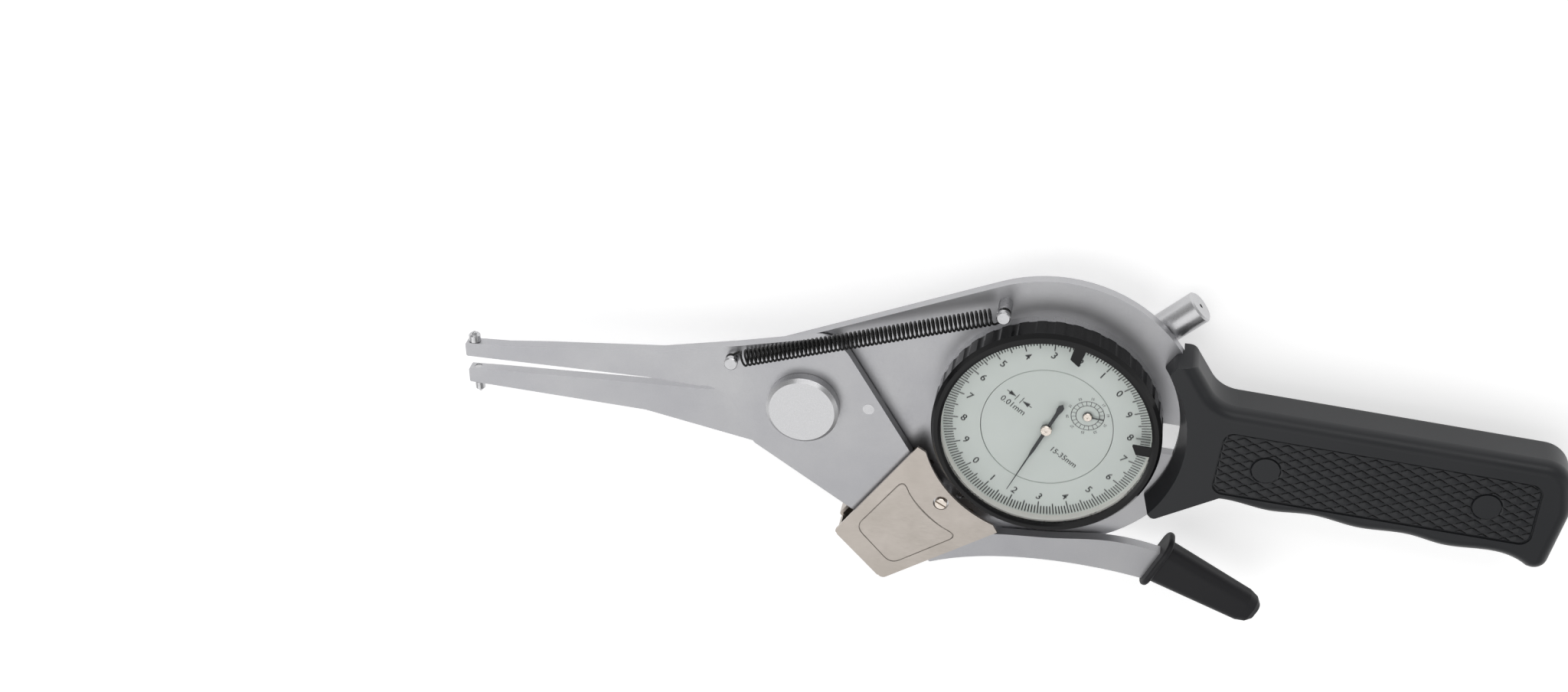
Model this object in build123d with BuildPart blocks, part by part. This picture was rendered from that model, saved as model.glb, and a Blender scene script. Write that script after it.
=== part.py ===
"""Internal dial caliper gauge for bores of 15 to 35 mm, every loose piece its own solid.

It lies on its back: jaws along -X, handle along +X, dial facing +Z, millimetres.
The origin is the middle of the indicator's back plate, on the plate's outer face.
"""

import os
from math import acos, asin, atan2, cos, degrees, hypot, pi, radians, sin, sqrt

from build123d import *

# Indicator: the body's radius, with the bezel, seats and dial placed from it.
body_radius = 27.0
running = 0.05
bezel_wall = 1.95
bezel_radius = body_radius + running + bezel_wall
flange_step = 0.2
flange_radius = bezel_radius - flange_step
seat_step = 0.05
bezel_seat = body_radius - seat_step
glass_ledge = 0.49
window_radius = bezel_seat - glass_ledge
ring_wall = 11.5
ring_radius = body_radius + ring_wall

# Lever geometry: the pivot, the measuring tips and the line of the indicator's spindle.
pivot_clearance = 35.5
pivot_distance = body_radius + pivot_clearance
jaw_radius = 88.4
spindle_angle = 40.0
rest_opening = 20.15
least_opening = 14.8
greatest_opening = 35.4
fixed_tip_drop = 5.95
fixed_tip_angle = degrees(asin(fixed_tip_drop / jaw_radius))
pivot = (-pivot_distance, 0.0)
lever_arm = pivot_distance * sin(radians(spindle_angle))
pad_face = pivot_distance * cos(radians(spindle_angle))


def tips_angle(opening):
    """Angle between the two tips, seen from the pivot, at an opening in millimetres."""
    return degrees(2 * asin(opening / 2 / jaw_radius))


moving_tip_angle = tips_angle(rest_opening) - fixed_tip_angle
closing_angle = tips_angle(rest_opening) - tips_angle(least_opening)
opening_angle = tips_angle(greatest_opening) - tips_angle(rest_opening)

# Heights of the two plates, stacked with a thin gap that the thrust washer keeps.
plate = 3.0
frame_rear = 9.5
frame_front = frame_rear + plate
plate_gap = 0.5
arm_rear = frame_front + plate_gap
arm_front = arm_rear + plate

# Heights of the indicator's back, web, flange, dial, crystal and bezel.
back_plate = 1.2
web_rear = 13.8
flange_front = 15.2
collar_front = 16.9
dial_rear = 18.0
dial_thickness = 0.5
dial_front = dial_rear + dial_thickness
bezel_front = 22.8
glass_rear = 20.8
glass_front = 21.7

# Spindle line, its rack and the train of wheels that turns the hands.
spindle_height = 4.9
spindle_radius = 2.2
wheel_teeth = 100
pinion_teeth = 10
rack_pinion_teeth = 16
module = 0.2
centre_distance = module * (wheel_teeth + pinion_teeth) / 2
scale_turn = 2.0
rack_pitch = scale_turn / (jaw_radius / lever_arm) * wheel_teeth / pinion_teeth / rack_pinion_teeth
rack_pinion_radius = rack_pitch * rack_pinion_teeth / 2 / pi
counter_angle = 23.0
drive_angle = counter_angle + 180
wheel_height = 10.6
wheel_thickness = 0.6
arbor_radius = 0.6
rack_side = centre_distance * sin(radians(spindle_angle - counter_angle)) - rack_pinion_radius

spindle_way = Vector(cos(radians(spindle_angle)), sin(radians(spindle_angle)), 0)
spindle_side = Vector(-spindle_way.Y, spindle_way.X, 0)


def across(distance):
    """Plane square to the spindle at a distance from the dial axis, positive towards the cap."""
    place = spindle_way * distance + Vector(0, 0, spindle_height)
    return Plane(origin=place, x_dir=spindle_side, z_dir=spindle_way)


def polar(radius, angle):
    """Point in the plane of the plates at a radius and an angle about the dial axis."""
    return (radius * cos(radians(angle)), radius * sin(radians(angle)))


def about_pivot(radius, angle):
    """Point at a radius and an angle about the jaws' pivot."""
    x, y = polar(radius, angle)
    return (pivot[0] + x, pivot[1] + y)


moving_tip = about_pivot(jaw_radius, 180 - moving_tip_angle)
fixed_tip = about_pivot(jaw_radius, 180 + fixed_tip_angle)
rack_plane = Plane(origin=(0, 0, spindle_height), x_dir=spindle_way, z_dir=(0, 0, 1))
counter_place = polar(centre_distance, counter_angle)
drive_place = polar(centre_distance, drive_angle)
os.makedirs("parts", exist_ok=True)

# Frame plate: fixed jaw, web, ring around the indicator and tang for the handle.
jaw_end = 2.3
fixed_end = fixed_tip[0] - jaw_end
web_corner = (pivot[0] - 6.5, 15.9)
fixed_jaw_top = [(fixed_end, 1.6), (fixed_end + 10.4, 1.5), (pivot[0] - 23.3, 0.4)]
fixed_jaw_top += [(pivot[0] - 19.0, 9.0), web_corner]
fixed_jaw_low = [(pivot[0] + 29.5, -20.4), (pivot[0] + 10.5, -22.5), (pivot[0] - 13.7, -14.5)]
fixed_jaw_low += [(pivot[0] - 43.0, -7.3), (fixed_end, -2.5)]
web_angle = degrees(atan2(web_corner[1], web_corner[0]))
tangent_angle = web_angle - degrees(acos(ring_radius / hypot(*web_corner)))
handle_slope = -6.0
handle_start = (54.9, -7.1)
slot_width = 9.0
tang_width = 15.0
tang_length = 88.0
stop_radius = 16.8
stop_pin_radius = 1.5
stop_travel = stop_radius * sin(radians(opening_angle + closing_angle) / 2)
stop_hole_radius = stop_pin_radius + stop_travel + 0.08
stop_hole_angle = -(opening_angle - closing_angle) / 2
frame_post = polar(bezel_radius + 4.66, 110.16)
cover_screw = polar(bezel_radius + 8.0, 224.25)
stem_end = pad_face - 9.88
clamp_distance = stem_end - 4.0
clamp_screw_side = 6.2
rear_screw_side = 11.6
rear_screw_distance = ring_radius - 3.5
clamp_width = 16.4
handle_axis = Plane(origin=(handle_start[0], handle_start[1], frame_rear), z_dir=(0, 0, 1))
handle_axis = handle_axis.rotated((0, 0, handle_slope))
clamp_screws = []
rear_screws = []
for side in (-1, 1):
    place = spindle_way * -clamp_distance + spindle_side * side * clamp_screw_side
    clamp_screws.append((place.X, place.Y))
    place = spindle_way * -rear_screw_distance + spindle_side * side * rear_screw_side
    rear_screws.append((place.X, place.Y))
tang_start = -22.0
tang_margin = 11.6
plug_pitch = tang_length + tang_start - tang_margin
slot_start = -32.0
slot_length = 44.0
handle_screw_radius = 2.0
contact_shank = 1.0

with BuildPart() as frame:
    with BuildSketch(Plane.XY.offset(frame_rear)):
        with BuildLine():
            Polyline(*fixed_jaw_top, polar(ring_radius, tangent_angle), (0, 0), *fixed_jaw_low, close=True)
        make_face()
        Circle(ring_radius)
        with Locations(cover_screw):
            Circle(4.2)
    extrude(amount=plate)
    with BuildSketch(handle_axis):
        with Locations((tang_start, 0)):
            Rectangle(tang_length, tang_width, align=(Align.MIN, Align.CENTER))
    extrude(amount=plate)
    with BuildSketch(Plane.XY.offset(frame_rear)):
        Circle(body_radius)
        with Locations(pivot):
            Circle(3.0)
        with Locations(about_pivot(stop_radius, stop_hole_angle)):
            Circle(stop_hole_radius)
        with Locations(frame_post):
            Circle(1.3)
        with Locations(cover_screw):
            Circle(1.25)
        with Locations(*rear_screws, *clamp_screws):
            Circle(1.0)
    extrude(amount=plate, mode=Mode.SUBTRACT)
    with BuildSketch(handle_axis):
        with Locations((slot_start, 0)):
            SlotCenterToCenter(slot_length, slot_width)
        with Locations((0, 0), (plug_pitch, 0)):
            Circle(handle_screw_radius)
    extrude(amount=plate, mode=Mode.SUBTRACT)
    with BuildSketch(Plane(origin=(fixed_tip[0], -20, frame_rear + plate / 2), z_dir=(0, 1, 0))):
        Circle(contact_shank)
    extrude(amount=30, mode=Mode.SUBTRACT)
    corners = frame.edges().filter_by(Axis.Z)
    tips = corners.group_by(Axis.X)[0]
    fillet(tips, 0.5)
    joins = frame.edges().filter_by(Axis.Z).filter_by_position(Axis.X, pivot[0] - 27.5, pivot[0] - 5.5)
    fillet(joins, 3.0)
frame.part.label = "frame"
export_step(frame.part, "parts/frame.step")

# Movable arm and finger lever: one bent outline, joined by a half lap under the nickel cover.
arm_end = moving_tip[0] - jaw_end
arm_top = [(arm_end, 11.3), (arm_end + 11.5, 11.2), (arm_end + 22.1, 11.8), (pivot[0] - 36.7, 13.0)]
arm_top += [(pivot[0] - 17.1, 16.0)]
arm_corner = (pivot[0] + 8.9, 20.7)
lap_radius = ring_radius + 4.5
arm_side = [(pivot[0] + 28.0, -12.7), polar(lap_radius, 213.0)]
lever_inner = [polar(lap_radius, 239.0), (-12.2, -35.4), (3.0, -35.2)]
lever_inner += [(16.0, -34.6), (28.0, -36.4), (50.0, -47.6)]
lever_outer = [(48.0, -53.2), (29.5, -46.4), (13.0, -43.2), (-4.0, -42.1), (-18.0, -43.1), (-29.4, -45.9)]
arm_low = [(pivot[0] - 13.3, -12.7), (pivot[0] - 16.9, -7.2), (pivot[0] - 18.4, -1.6), (pivot[0] - 21.9, 2.3)]
arm_low += [(pivot[0] - 27.5, 3.4), (pivot[0] - 41.6, 4.9), (arm_end, 7.4)]
lap_from = -36.0
lap_to = -22.0
arm_post = (pivot[0] - 18.0, 13.1)
journal = 4.0
bush_radius = 5.5
post_shank = 1.1
rivet_radius = 0.9
pad_depth = 4.6
lever_screws = [(-31.4, -37.0), (-25.6, -39.6)]
stop_pin_place = about_pivot(stop_radius, 0)
pad_rivets = []
for side in (-2.5, 2.5):
    place = spindle_way * -(pad_face + pad_depth / 2 + 0.1) + spindle_side * side
    pad_rivets.append((place.X, place.Y))

with BuildSketch() as arm_shape:
    with BuildLine():
        Polyline(*arm_top, arm_corner, *arm_side)
        ThreePointArc(arm_side[-1], polar(lap_radius, 226.0), lever_inner[0])
        Spline(*lever_inner)
        ThreePointArc(lever_inner[-1], (51.2, -51.6), lever_outer[0])
        Spline(*lever_outer)
        Polyline(lever_outer[-1], arm_low[0], arm_low[1])
        Spline(*arm_low[1:5])
        Polyline(*arm_low[4:], arm_top[0])
    make_face()
    top_corner = arm_shape.vertices().sort_by_distance(arm_corner)[0]
    fillet(top_corner, 9)
    fillet(arm_shape.vertices().group_by(Axis.X)[0], 0.5)

with BuildPart() as movable_arm:
    with BuildSketch(Plane.XY.offset(arm_rear)):
        add(arm_shape.sketch)
    extrude(amount=plate)
    with BuildSketch(Plane.XY.offset(arm_rear)):
        with Locations((lap_to, -60)):
            Rectangle(90, 60, align=(Align.MIN, Align.MIN))
    extrude(amount=plate, mode=Mode.SUBTRACT)
    with BuildSketch(Plane.XY.offset(arm_rear + plate / 2)):
        with Locations((lap_from, -60)):
            Rectangle(40, 39, align=(Align.MIN, Align.MIN))
    extrude(amount=plate, mode=Mode.SUBTRACT)
    with BuildSketch(Plane.XY.offset(arm_rear)):
        with Locations(pivot):
            Circle(bush_radius)
        with Locations(stop_pin_place):
            Circle(stop_pin_radius)
        with Locations(arm_post):
            Circle(post_shank)
        with Locations(*pad_rivets):
            Circle(rivet_radius)
        with Locations(*lever_screws):
            Circle(1.0)
    extrude(amount=plate, mode=Mode.SUBTRACT)
    with BuildSketch(Plane(origin=(moving_tip[0], -10, arm_rear + plate / 2), z_dir=(0, 1, 0))):
        Circle(contact_shank)
    extrude(amount=40, mode=Mode.SUBTRACT)
movable_arm.part.label = "movable_arm"
export_step(movable_arm.part, "parts/movable_arm.step")

with BuildPart() as finger_lever:
    with BuildSketch(Plane.XY.offset(arm_rear)):
        add(arm_shape.sketch)
    extrude(amount=plate)
    with BuildSketch(Plane.XY.offset(arm_rear)):
        with Locations((lap_from, -60)):
            Rectangle(-arm_end, 100, align=(Align.MAX, Align.MIN))
        with Locations((lap_from, -24)):
            Rectangle(60, 60, align=(Align.MIN, Align.MIN))
    extrude(amount=plate, mode=Mode.SUBTRACT)
    with BuildSketch(Plane.XY.offset(arm_rear)):
        with Locations((lap_to, -60)):
            Rectangle(60, 60, align=(Align.MAX, Align.MIN))
    extrude(amount=plate / 2, mode=Mode.SUBTRACT)
    with BuildSketch(Plane.XY.offset(arm_rear)):
        with Locations(*lever_screws):
            Circle(1.0)
    extrude(amount=plate, mode=Mode.SUBTRACT)
finger_lever.part.label = "finger_lever"
export_step(finger_lever.part, "parts/finger_lever.step")

for number, place in enumerate(lever_screws, 1):
    with BuildPart() as lever_screw:
        with BuildSketch(Plane.XY.offset(arm_rear)):
            with Locations(place):
                Circle(1.0)
        extrude(amount=plate)
        with BuildSketch(Plane.XY.offset(arm_front)):
            with Locations(place):
                Circle(1.9)
        extrude(amount=0.7)
        with BuildSketch(Plane.XY.offset(arm_front + 0.3)):
            with Locations(Location(place, 30)):
                Rectangle(4, 0.5)
        extrude(amount=1, mode=Mode.SUBTRACT)
    lever_screw.part.label = f"lever_screw_{number}"
    export_step(lever_screw.part, f"parts/lever_screw_{number}.step")

# Rubber sleeve pushed over the lever's end, with a thin collar that stops the finger.
sleeve_middle = arm_rear + plate / 2
sleeve_angle = -28.0
collar_length = 1.6
sleeve_way = (*polar(1, sleeve_angle), 0)
sleeve_plane = Plane(origin=(30.6, -40.4, sleeve_middle), x_dir=(0, 0, 1), z_dir=sleeve_way)
with BuildPart() as lever_sleeve:
    with BuildSketch(sleeve_plane.offset(-collar_length)):
        RectangleRounded(9.6, 16.0, 4.0)
    extrude(amount=collar_length)
    fillet(lever_sleeve.edges().filter_by(lambda edge: edge.center().Z > 0), 0.7)
    for distance, height, width, corner in (
        (-0.2, 7.8, 12.0, 3.0),
        (25.0, 6.6, 8.8, 2.6),
        (27.4, 5.6, 7.4, 2.4),
        (28.8, 3.4, 4.8, 1.5),
    ):
        with BuildSketch(sleeve_plane.offset(distance)):
            RectangleRounded(height, width, corner)
    loft(ruled=True)
    add(finger_lever.part, mode=Mode.SUBTRACT)
lever_sleeve.part.label = "lever_sleeve"
export_step(lever_sleeve.part, "parts/lever_sleeve.step")

# Measuring contacts: a shank pressed through each jaw, a stepped head and a ball on the tip.
for name, tip, way, head, root, shank, height in (
    ("moving_contact", moving_tip, 1, 1.55, 11.3, 3.8, arm_rear + plate / 2),
    ("fixed_contact", fixed_tip, -1, 1.3, -2.85, 4.3, frame_rear + plate / 2),
):
    ball = 0.7
    ball_centre = tip[1] - way * ball
    with BuildPart() as contact:
        with BuildSketch(Plane(origin=(tip[0], ball_centre, height), z_dir=(0, -way, 0))):
            Circle(contact_shank)
        extrude(amount=abs(ball_centre - root) + shank)
        with BuildSketch(Plane(origin=(tip[0], ball_centre, height), z_dir=(0, -way, 0))):
            Circle(head)
        extrude(amount=abs(ball_centre - root) - 0.1)
        with Locations((tip[0], ball_centre, height)):
            Sphere(ball)
        rim = contact.edges().filter_by(GeomType.CIRCLE).filter_by(lambda e: abs(e.radius - head) < 0.01)
        chamfer(rim.sort_by_distance((tip[0], tip[1], height))[0], 0.35)
    contact.part.label = name
    export_step(contact.part, f"parts/{name}.step")

# Pivot: a shouldered shaft held in the frame by a nut, with the arm turning on a bronze bush.
cap_gap = 0.1
cap_height = 3.6
cap_radius = 9.4
with BuildPart() as pivot_shaft:
    with BuildSketch(Plane.XY.offset(frame_rear - 4.5)):
        with Locations(pivot):
            Circle(3.0)
    extrude(amount=plate + 4.5)
    with BuildSketch(Plane.XY.offset(frame_front)):
        with Locations(pivot):
            Circle(journal)
    extrude(amount=plate_gap + plate + cap_gap)
    with BuildSketch(Plane.XY.offset(arm_front + cap_gap)):
        with Locations(pivot):
            Circle(2.5)
    extrude(amount=cap_height - 1.0)
pivot_shaft.part.label = "pivot_shaft"
export_step(pivot_shaft.part, "parts/pivot_shaft.step")

with BuildPart() as pivot_bush:
    with BuildSketch(Plane.XY.offset(arm_rear)):
        with Locations(pivot):
            Circle(bush_radius)
            Circle(journal + running, mode=Mode.SUBTRACT)
    extrude(amount=plate)
pivot_bush.part.label = "pivot_bush"
export_step(pivot_bush.part, "parts/pivot_bush.step")

with BuildPart() as thrust_washer:
    with BuildSketch(Plane.XY.offset(frame_front)):
        with Locations(pivot):
            Circle(8.5)
            Circle(journal, mode=Mode.SUBTRACT)
    extrude(amount=plate_gap - running)
thrust_washer.part.label = "thrust_washer"
export_step(thrust_washer.part, "parts/thrust_washer.step")

with BuildPart() as pivot_cap:
    with BuildSketch(Plane.XY.offset(arm_front + cap_gap)):
        with Locations(pivot):
            Circle(cap_radius)
    extrude(amount=cap_height)
    rim = pivot_cap.faces().sort_by(Axis.Z)[-1].edges()
    chamfer(rim, 0.9)
    with BuildSketch(Plane.XY.offset(arm_front + cap_gap)):
        with Locations(pivot):
            Circle(2.5)
    extrude(amount=cap_height - 1.0, mode=Mode.SUBTRACT)
pivot_cap.part.label = "pivot_cap"
export_step(pivot_cap.part, "parts/pivot_cap.step")

with BuildPart() as pivot_nut:
    with BuildSketch(Plane.XY.offset(frame_rear - 3.6)):
        with Locations(pivot):
            RegularPolygon(5.8, 6)
            Circle(3.0, mode=Mode.SUBTRACT)
    extrude(amount=3.6)
pivot_nut.part.label = "pivot_nut"
export_step(pivot_nut.part, "parts/pivot_nut.step")

# Stop pin: set in the arm, it moves inside a round hole of the frame and so limits the opening.
with BuildPart() as stop_pin:
    with BuildSketch(Plane.XY.offset(frame_rear + 0.5)):
        with Locations(stop_pin_place):
            Circle(stop_pin_radius)
    extrude(amount=arm_front + 0.05 - frame_rear - 0.5)
stop_pin.part.label = "stop_pin"
export_step(stop_pin.part, "parts/stop_pin.step")

# Spring posts: shouldered pins with a groove near the tip for the spring's end loop.
post_radius = 1.75
groove_radius = 1.15
groove_height = 18.4
post_tip = 20.5
for name, place, foot, shank in (
    ("arm_spring_post", arm_post, arm_front, post_shank),
    ("frame_spring_post", frame_post, frame_front, 1.3),
):
    with BuildPart() as spring_post:
        with BuildSketch(Plane.XY.offset(foot - plate)):
            with Locations(place):
                Circle(shank)
        extrude(amount=plate)
        with BuildSketch(Plane.XY.offset(foot)):
            with Locations(place):
                Circle(post_radius)
        extrude(amount=post_tip - foot)
        chamfer(spring_post.faces().sort_by(Axis.Z)[-1].edges(), 0.25)
        with BuildSketch(Plane.XY.offset(groove_height - 0.6)):
            with Locations(place):
                Circle(post_radius + 1)
                Circle(groove_radius, mode=Mode.SUBTRACT)
        extrude(amount=1.2, mode=Mode.SUBTRACT)
    spring_post.part.label = name
    export_step(spring_post.part, f"parts/{name}.step")

def hooked_spring(name, start, end, post_axis, sizes):
    """Close coil between two posts, with a half loop around each post.

    The sizes are the wire's radius, the coil's mean radius, its pitch, the loops' radius
    and the length left at each end for a hook.
    """
    wire, coil_radius, pitch, loop_radius, lead = sizes
    reach = (end - start).normalized()
    coil_from = start + reach * lead
    with BuildPart() as spring_coil:
        with BuildLine():
            coil = Helix(pitch, (end - start).length - 2 * lead, coil_radius, coil_from, reach)
        with BuildSketch(Plane(origin=coil @ 0, z_dir=coil % 0)):
            Circle(wire)
        sweep(path=coil, is_frenet=True)
    pieces = [spring_coil.part.solid()]
    hooks = [(coil @ 0, coil % 0 * -1, start, reach), (coil @ 1, coil % 1, end, reach * -1)]
    for tip, leaving, middle, along in hooks:
        aside = post_axis.cross(along)
        near = middle + aside * loop_radius
        with BuildPart() as spring_hook:
            with BuildLine():
                Spline(tip, near, tangents=[leaving, along * -1], tangent_scalars=[1.2, 1.2])
                ThreePointArc(near, middle - along * loop_radius, middle - aside * loop_radius)
            with BuildSketch(Plane(origin=tip, z_dir=leaving)):
                Circle(wire)
            sweep()
        pieces.append(spring_hook.part.solid())
    spring = Compound(label=name, children=pieces)
    export_step(spring, f"parts/{name}.step")


# Tension spring between the posts: a close coil with a loop hooked around each groove.
wire = 0.29
hooked_spring(
    "tension_spring",
    Vector(*arm_post, groove_height),
    Vector(*frame_post, groove_height),
    Vector(0, 0, 1),
    (wire, 1.95, 1.12, groove_radius + wire + 0.03, 3.0),
)

# Tail pad: hardened block riveted under the arm, its flat face pushes on the spindle's contact.
pad_width = 8.0
pad_plane = Plane(
    origin=spindle_way * -pad_face + Vector(0, 0, spindle_height - 2.5), x_dir=-spindle_way, z_dir=(0, 0, 1)
)
with BuildPart() as tail_pad:
    with BuildSketch(pad_plane):
        Rectangle(pad_depth, pad_width, align=(Align.MIN, Align.CENTER))
    extrude(amount=arm_rear - spindle_height + 2.5)
    with BuildSketch(Plane.XY.offset(arm_rear)):
        with Locations(*pad_rivets):
            Circle(rivet_radius)
    extrude(amount=plate)
    chamfer(tail_pad.faces().sort_by(Axis.Z)[0].edges(), 0.4)
tail_pad.part.label = "tail_pad"
export_step(tail_pad.part, "parts/tail_pad.step")

# Nickel covers over the contact: a front sheet with a turned-down end and a rear pan.
cover_sheet = 0.8
cover_front = 17.9
cover_gap = 4.95
cover_arc = [polar(bezel_radius + cover_gap, 247.7), polar(bezel_radius + 4.26, 222.8)]
cover_arc += [polar(bezel_radius + 3.38, 199.1)]
cover_corners = [polar(bezel_radius + cover_gap, 195.7), (-54.6, -37.2), (-42.0, -51.3)]
cover_corners += [polar(bezel_radius + 6.6, 250.8)]
rear_floor = 0.5
rear_wall_top = frame_rear - 0.1
pan_open_radius = ring_radius + 1.1
cover_hole = 2.05
rear_screw_radius = 1.0
with BuildSketch() as cover_outline:
    with BuildLine():
        Polyline(cover_arc[0], *reversed(cover_corners), cover_arc[-1])
        ThreePointArc(*cover_arc)
    make_face()
    fillet(cover_outline.vertices().group_by(Axis.X)[0], 0.8)
    fillet(cover_outline.vertices().group_by(Axis.Y)[0], 1.6)

with BuildSketch() as cover_panel:
    with BuildLine():
        Polyline((-22.6, -35.6), (-39.4, -45.6), (-48.2, -35.2), (-36.2, -20.2))
        ThreePointArc((-36.2, -20.2), (-31.4, -29.0), (-22.6, -35.6))
    make_face()
    fillet(cover_panel.vertices(), 1.8)

with BuildPart() as front_cover:
    with BuildSketch(Plane.XY.offset(cover_front - cover_sheet)):
        add(cover_outline.sketch)
    extrude(amount=cover_sheet)
    with BuildSketch(Plane.XY.offset(rear_wall_top)):
        with BuildLine():
            Polyline((-54.1, -38.4), (-43.2, -50.6), (-42.55, -50.1), (-53.5, -37.8), close=True)
        make_face()
    extrude(amount=cover_front - rear_wall_top - 0.4)
    with BuildSketch(Plane.XY.offset(cover_front)):
        add(cover_panel.sketch)
    extrude(amount=0.25, taper=30)
    with BuildSketch(Plane.XY.offset(cover_front - cover_sheet)):
        with Locations(cover_screw):
            Circle(cover_hole)
    extrude(amount=cover_sheet, mode=Mode.SUBTRACT)
front_cover.part.label = "front_cover"
export_step(front_cover.part, "parts/front_cover.step")

with BuildPart() as rear_cover:
    with BuildSketch(Plane.XY.offset(rear_floor)):
        add(cover_outline.sketch)
    extrude(amount=rear_wall_top - rear_floor)
    with BuildSketch(Plane.XY.offset(rear_floor + cover_sheet)):
        offset(cover_outline.sketch, amount=-cover_sheet, kind=Kind.INTERSECTION)
    extrude(amount=20, mode=Mode.SUBTRACT)
    with BuildSketch(Plane.XY.offset(rear_floor)):
        Circle(pan_open_radius)
    extrude(amount=rear_wall_top - rear_floor - cover_sheet, mode=Mode.SUBTRACT)
    with BuildSketch(Plane.XY.offset(rear_wall_top - cover_sheet)):
        Circle(pan_open_radius + 2.4)
        add(cover_outline.sketch, mode=Mode.INTERSECT)
        Circle(ring_radius - 5.9, mode=Mode.SUBTRACT)
    extrude(amount=cover_sheet)
    with BuildSketch(rack_plane.offset(rear_wall_top - cover_sheet - spindle_height)):
        with Locations((-stem_end - 0.4, 0)):
            Rectangle(10.4, clamp_width + 1, align=(Align.MIN, Align.CENTER))
        with Locations((-rear_screw_distance, -rear_screw_side), (-rear_screw_distance, rear_screw_side)):
            Circle(rear_screw_radius + 0.3)
    extrude(amount=cover_sheet, mode=Mode.SUBTRACT)
rear_cover.part.label = "rear_cover"
export_step(rear_cover.part, "parts/rear_cover.step")

with BuildPart() as cover_pillar:
    with BuildSketch(Plane.XY.offset(frame_front)):
        with Locations(cover_screw):
            Circle(2.5)
    extrude(amount=cover_front - cover_sheet - frame_front)
    with BuildSketch(Plane.XY.offset(frame_rear + 0.3)):
        with Locations(cover_screw):
            Circle(1.25)
    extrude(amount=plate)
    with BuildSketch(Plane.XY.offset(frame_front + 0.6)):
        with Locations(cover_screw):
            Circle(0.8)
    extrude(amount=10, mode=Mode.SUBTRACT)
cover_pillar.part.label = "cover_pillar"
export_step(cover_pillar.part, "parts/cover_pillar.step")

screw_rise = 0.55
with BuildPart() as cover_screw_part:
    with BuildSketch(Plane.XY.offset(frame_front + 0.8)):
        with Locations(cover_screw):
            Circle(0.8)
    extrude(amount=cover_front - frame_front - 1.6)
    with BuildSketch(Plane.XY.offset(cover_front - cover_sheet)):
        with Locations(cover_screw):
            Circle(cover_hole - 0.45)
    extrude(amount=cover_sheet + screw_rise)
    chamfer(cover_screw_part.faces().sort_by(Axis.Z)[-1].edges(), 0.15)
    with BuildSketch(Plane.XY.offset(cover_front + screw_rise - 0.5)):
        with Locations(Location(cover_screw, -32)):
            Rectangle(4, 0.45)
    extrude(amount=1, mode=Mode.SUBTRACT)
cover_screw_part.part.label = "cover_screw"
export_step(cover_screw_part.part, "parts/cover_screw.step")

for number, place in enumerate(rear_screws, 1):
    with BuildPart() as rear_screw:
        with BuildSketch(Plane.XY.offset(rear_wall_top - cover_sheet)):
            with Locations(place):
                Circle(1.0)
        extrude(amount=cover_sheet + 2.6)
        with BuildSketch(Plane.XY.offset(rear_wall_top - cover_sheet - 1.2)):
            with Locations(place):
                Circle(1.9)
        extrude(amount=1.2)
        with BuildSketch(Plane.XY.offset(rear_wall_top - cover_sheet - 1.2)):
            with Locations(place):
                Rectangle(4, 0.5)
        extrude(amount=0.5, mode=Mode.SUBTRACT)
    rear_screw.part.label = f"rear_cover_screw_{number}"
    export_step(rear_screw.part, f"parts/rear_cover_screw_{number}.step")

# Handle: two moulded halves that close over the tang and grip the ring's rim.
grip_middle = frame_rear + plate / 2
grip_front_depth = 9.0
grip_rear_depth = 3.9
grip_round = 3.2
rear_round = 1.8
saddle_radius = ring_radius - 5.4
saddle_slope = 2.6
lip_gap = 0.3
grip_outer = [polar(ring_radius - 1.0, 33.6), polar(ring_radius + 3.0, 29.6), (42.4, 9.7)]
grip_outer += [(128.0, -0.3), (129.6, -13.0), (125.0, -31.9)]
grip_waves = [(120.6, -30.5), (113.6, -27.2), (99.4, -26.2), (92.0, -24.2), (78.2, -23.1)]
grip_waves += [(67.6, -20.6), (56.6, -20.2), (45.6, -17.9), (40.6, -18.0)]
grip_lip = polar(ring_radius - 1.6, -41.4)
saddle_low = polar(saddle_radius, -40.0)
saddle_high = polar(saddle_radius, 30.5)
panel_corners = [(44.0, 3.4), (122.0, -5.6), (120.6, -23.4), (41.6, -14.8)]
panel_depth = 0.5
plug_radius = 3.45
screw_seat = 4.5
screw_foot = 2.6
plug_places = []
for step in (0, plug_pitch):
    x = handle_start[0] + step * cos(radians(handle_slope))
    y = handle_start[1] + step * sin(radians(handle_slope))
    plug_places.append((x, y))

with BuildSketch() as grip_outline:
    with BuildLine():
        Polyline(saddle_high, *grip_outer, grip_waves[0])
        Spline(*grip_waves)
        Polyline(grip_waves[-1], grip_lip, saddle_low)
        ThreePointArc(saddle_low, polar(saddle_radius, 0), saddle_high)
    make_face()
    for corner, radius in zip(grip_outer[2:], (9.0, 7.5, 14.0, 3.5)):
        fillet(grip_outline.vertices().sort_by_distance(corner)[0], radius)

with BuildSketch() as lip_outline:
    add(grip_outline.sketch)
    for corner, radius in zip((grip_lip, *grip_outer[:2]), (1.5, 1.7, 1.9)):
        fillet(lip_outline.vertices().sort_by_distance(corner)[0], radius)

with BuildPart() as saddle_cut:
    with Locations((0, 0, frame_front + 1)):
        Cone(saddle_radius, saddle_radius + saddle_slope, grip_front_depth, align=(Align.CENTER, Align.CENTER, Align.MIN))

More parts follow.
